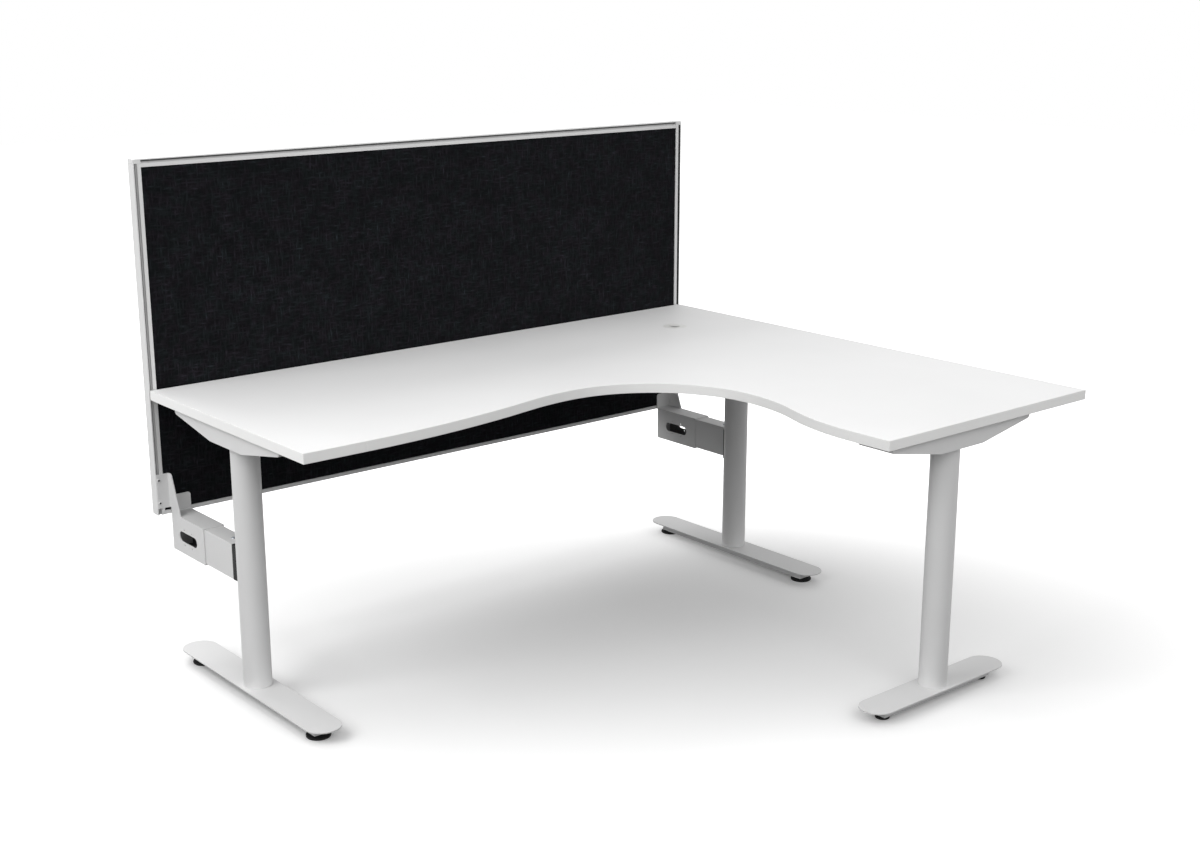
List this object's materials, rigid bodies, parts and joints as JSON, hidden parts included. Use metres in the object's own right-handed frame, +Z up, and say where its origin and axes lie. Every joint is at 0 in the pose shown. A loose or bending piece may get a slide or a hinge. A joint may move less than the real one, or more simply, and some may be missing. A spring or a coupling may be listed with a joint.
{
  "type": "screened corner workstation",
  "caption": "L-shaped white desk with wave front edge on round T-foot legs, with a dark fabric screen held behind it on telescoping arms.",
  "frame": {"origin": "centre of the footprint's bounding box, at floor level", "axes": "+Z up; +Y from the user towards the screen; +X along the long wing towards the corner, where the short wing starts"},
  "size_m": [1.8, 1.536, 1.293],
  "materials": {
    "white_board": "fine-textured white melamine on chipboard",
    "white_edging": "matt white edge band",
    "white_plastic": "satin moulded plastic",
    "frame_paint": "pale grey fine-textured powder coat on steel",
    "screen_frame": "pale grey coated extrusion",
    "core_board": "raw chipboard",
    "dark_fabric": "near-black woven upholstery fabric",
    "black_plastic": "matt moulded plastic",
    "zinc": "bright zinc plate",
    "black_steel": "blackened steel screws"
  },
  "bodies": {
    "desk": {"worktop_board": "white_board", "edge_band": "white_edging", "grommet_collar": "white_plastic", "left_column": "frame_paint", "corner_column": "frame_paint", "wing_column": "frame_paint", "left_top_bracket": "frame_paint", "corner_top_bracket": "frame_paint", "wing_top_bracket": "frame_paint", "left_fixing_plate": "frame_paint", "corner_fixing_plate": "frame_paint", "wing_fixing_plate": "frame_paint", "left_foot_plate": "frame_paint", "corner_foot_plate": "frame_paint", "wing_foot_plate": "frame_paint", "left_foot_channel": "frame_paint", "corner_foot_channel": "frame_paint", "wing_foot_channel": "frame_paint", "long_beam": "frame_paint", "wing_beam": "frame_paint", "beam_end_plates": "frame_paint", "left_inner_arm": "frame_paint", "corner_inner_arm": "frame_paint", "left_saddle": "black_plastic", "corner_saddle": "black_plastic", "worktop_screws": "zinc", "column_bolts": "zinc", "foot_bolts": "zinc", "beam_bolts": "zinc", "saddle_bolts": "zinc", "column_rivet_nuts": "zinc", "arm_top_screws": "zinc", "lock_screws": "zinc"},
    "cap": {"grommet_cap": "white_plastic"},
    "screen": {"left_screen_bracket": "frame_paint", "corner_screen_bracket": "frame_paint", "left_clamp_plate": "frame_paint", "corner_clamp_plate": "frame_paint", "screen_top_rail": "screen_frame", "screen_bottom_rail": "screen_frame", "screen_left_stile": "screen_frame", "screen_corner_stile": "screen_frame", "screen_corner_pieces": "screen_frame", "screen_core": "core_board", "front_fabric": "dark_fabric", "rear_fabric": "dark_fabric", "plate_screws": "black_steel"},
    "left_front_glide_body": {"left_front_glide": "black_plastic"},
    "left_rear_glide_body": {"left_rear_glide": "black_plastic"},
    "corner_front_glide_body": {"corner_front_glide": "black_plastic"},
    "corner_rear_glide_body": {"corner_rear_glide": "black_plastic"},
    "wing_front_glide_body": {"wing_front_glide": "black_plastic"},
    "wing_rear_glide_body": {"wing_rear_glide": "black_plastic"}
  },
  "joints": [
    {"name": "cap_lift", "type": "slide", "parent": "desk", "child": "cap", "axis": [0, 0, 1], "range_m": [0, 0.03]},
    {"name": "screen_draw", "type": "slide", "parent": "desk", "child": "screen", "axis": [0, 1, 0], "range_m": [0, 0.02]},
    {"name": "left_front_levelling", "type": "slide", "parent": "desk", "child": "left_front_glide_body", "axis": [0, 0, -1], "range_m": [0, 0.01]},
    {"name": "left_rear_levelling", "type": "slide", "parent": "desk", "child": "left_rear_glide_body", "axis": [0, 0, -1], "range_m": [0, 0.01]},
    {"name": "corner_front_levelling", "type": "slide", "parent": "desk", "child": "corner_front_glide_body", "axis": [0, 0, -1], "range_m": [0, 0.01]},
    {"name": "corner_rear_levelling", "type": "slide", "parent": "desk", "child": "corner_rear_glide_body", "axis": [0, 0, -1], "range_m": [0, 0.01]},
    {"name": "wing_front_levelling", "type": "slide", "parent": "desk", "child": "wing_front_glide_body", "axis": [0, 0, -1], "range_m": [0, 0.01]},
    {"name": "wing_rear_levelling", "type": "slide", "parent": "desk", "child": "wing_rear_glide_body", "axis": [0, 0, -1], "range_m": [0, 0.01]}
  ]
}
